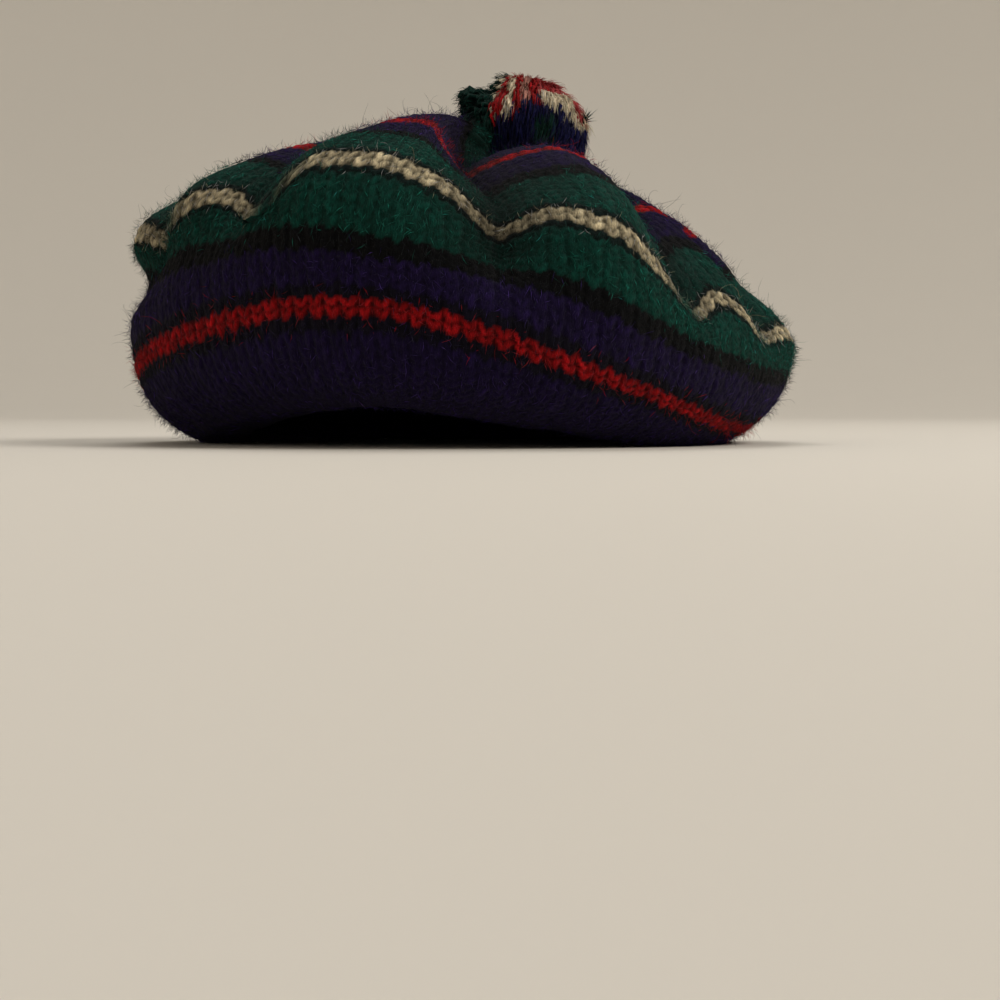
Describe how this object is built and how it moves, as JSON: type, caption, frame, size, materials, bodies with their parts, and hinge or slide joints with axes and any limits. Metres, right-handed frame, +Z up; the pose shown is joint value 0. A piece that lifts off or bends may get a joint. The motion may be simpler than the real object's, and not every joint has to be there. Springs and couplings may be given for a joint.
{
  "type": "tam o' shanter hat",
  "caption": "Striped knitted tam o' shanter with a soft rolled brim, a crown gathered into folds at the top and a yarn pompom tied over the gather.",
  "frame": {"origin": "bottom centre of the whole hat's bounding box, on the surface the brim lies on", "axes": "+Z up from the brim towards the pompom, -Y towards the front of the hat, +X towards the side the crown slouches to"},
  "size_m": [0.2498, 0.2496, 0.1388],
  "materials": {
    "crown_wool": "brushed knitted wool in purple, black, red, green and cream stripes",
    "pompom_wool": "cut wool yarn in navy, red, cream and green",
    "tie_yarn": "twisted black wool yarn"
  },
  "bodies": {
    "root": {"crown": "crown_wool", "pompom": "pompom_wool", "pompom_tie": "tie_yarn"}
  },
  "joints": []
}
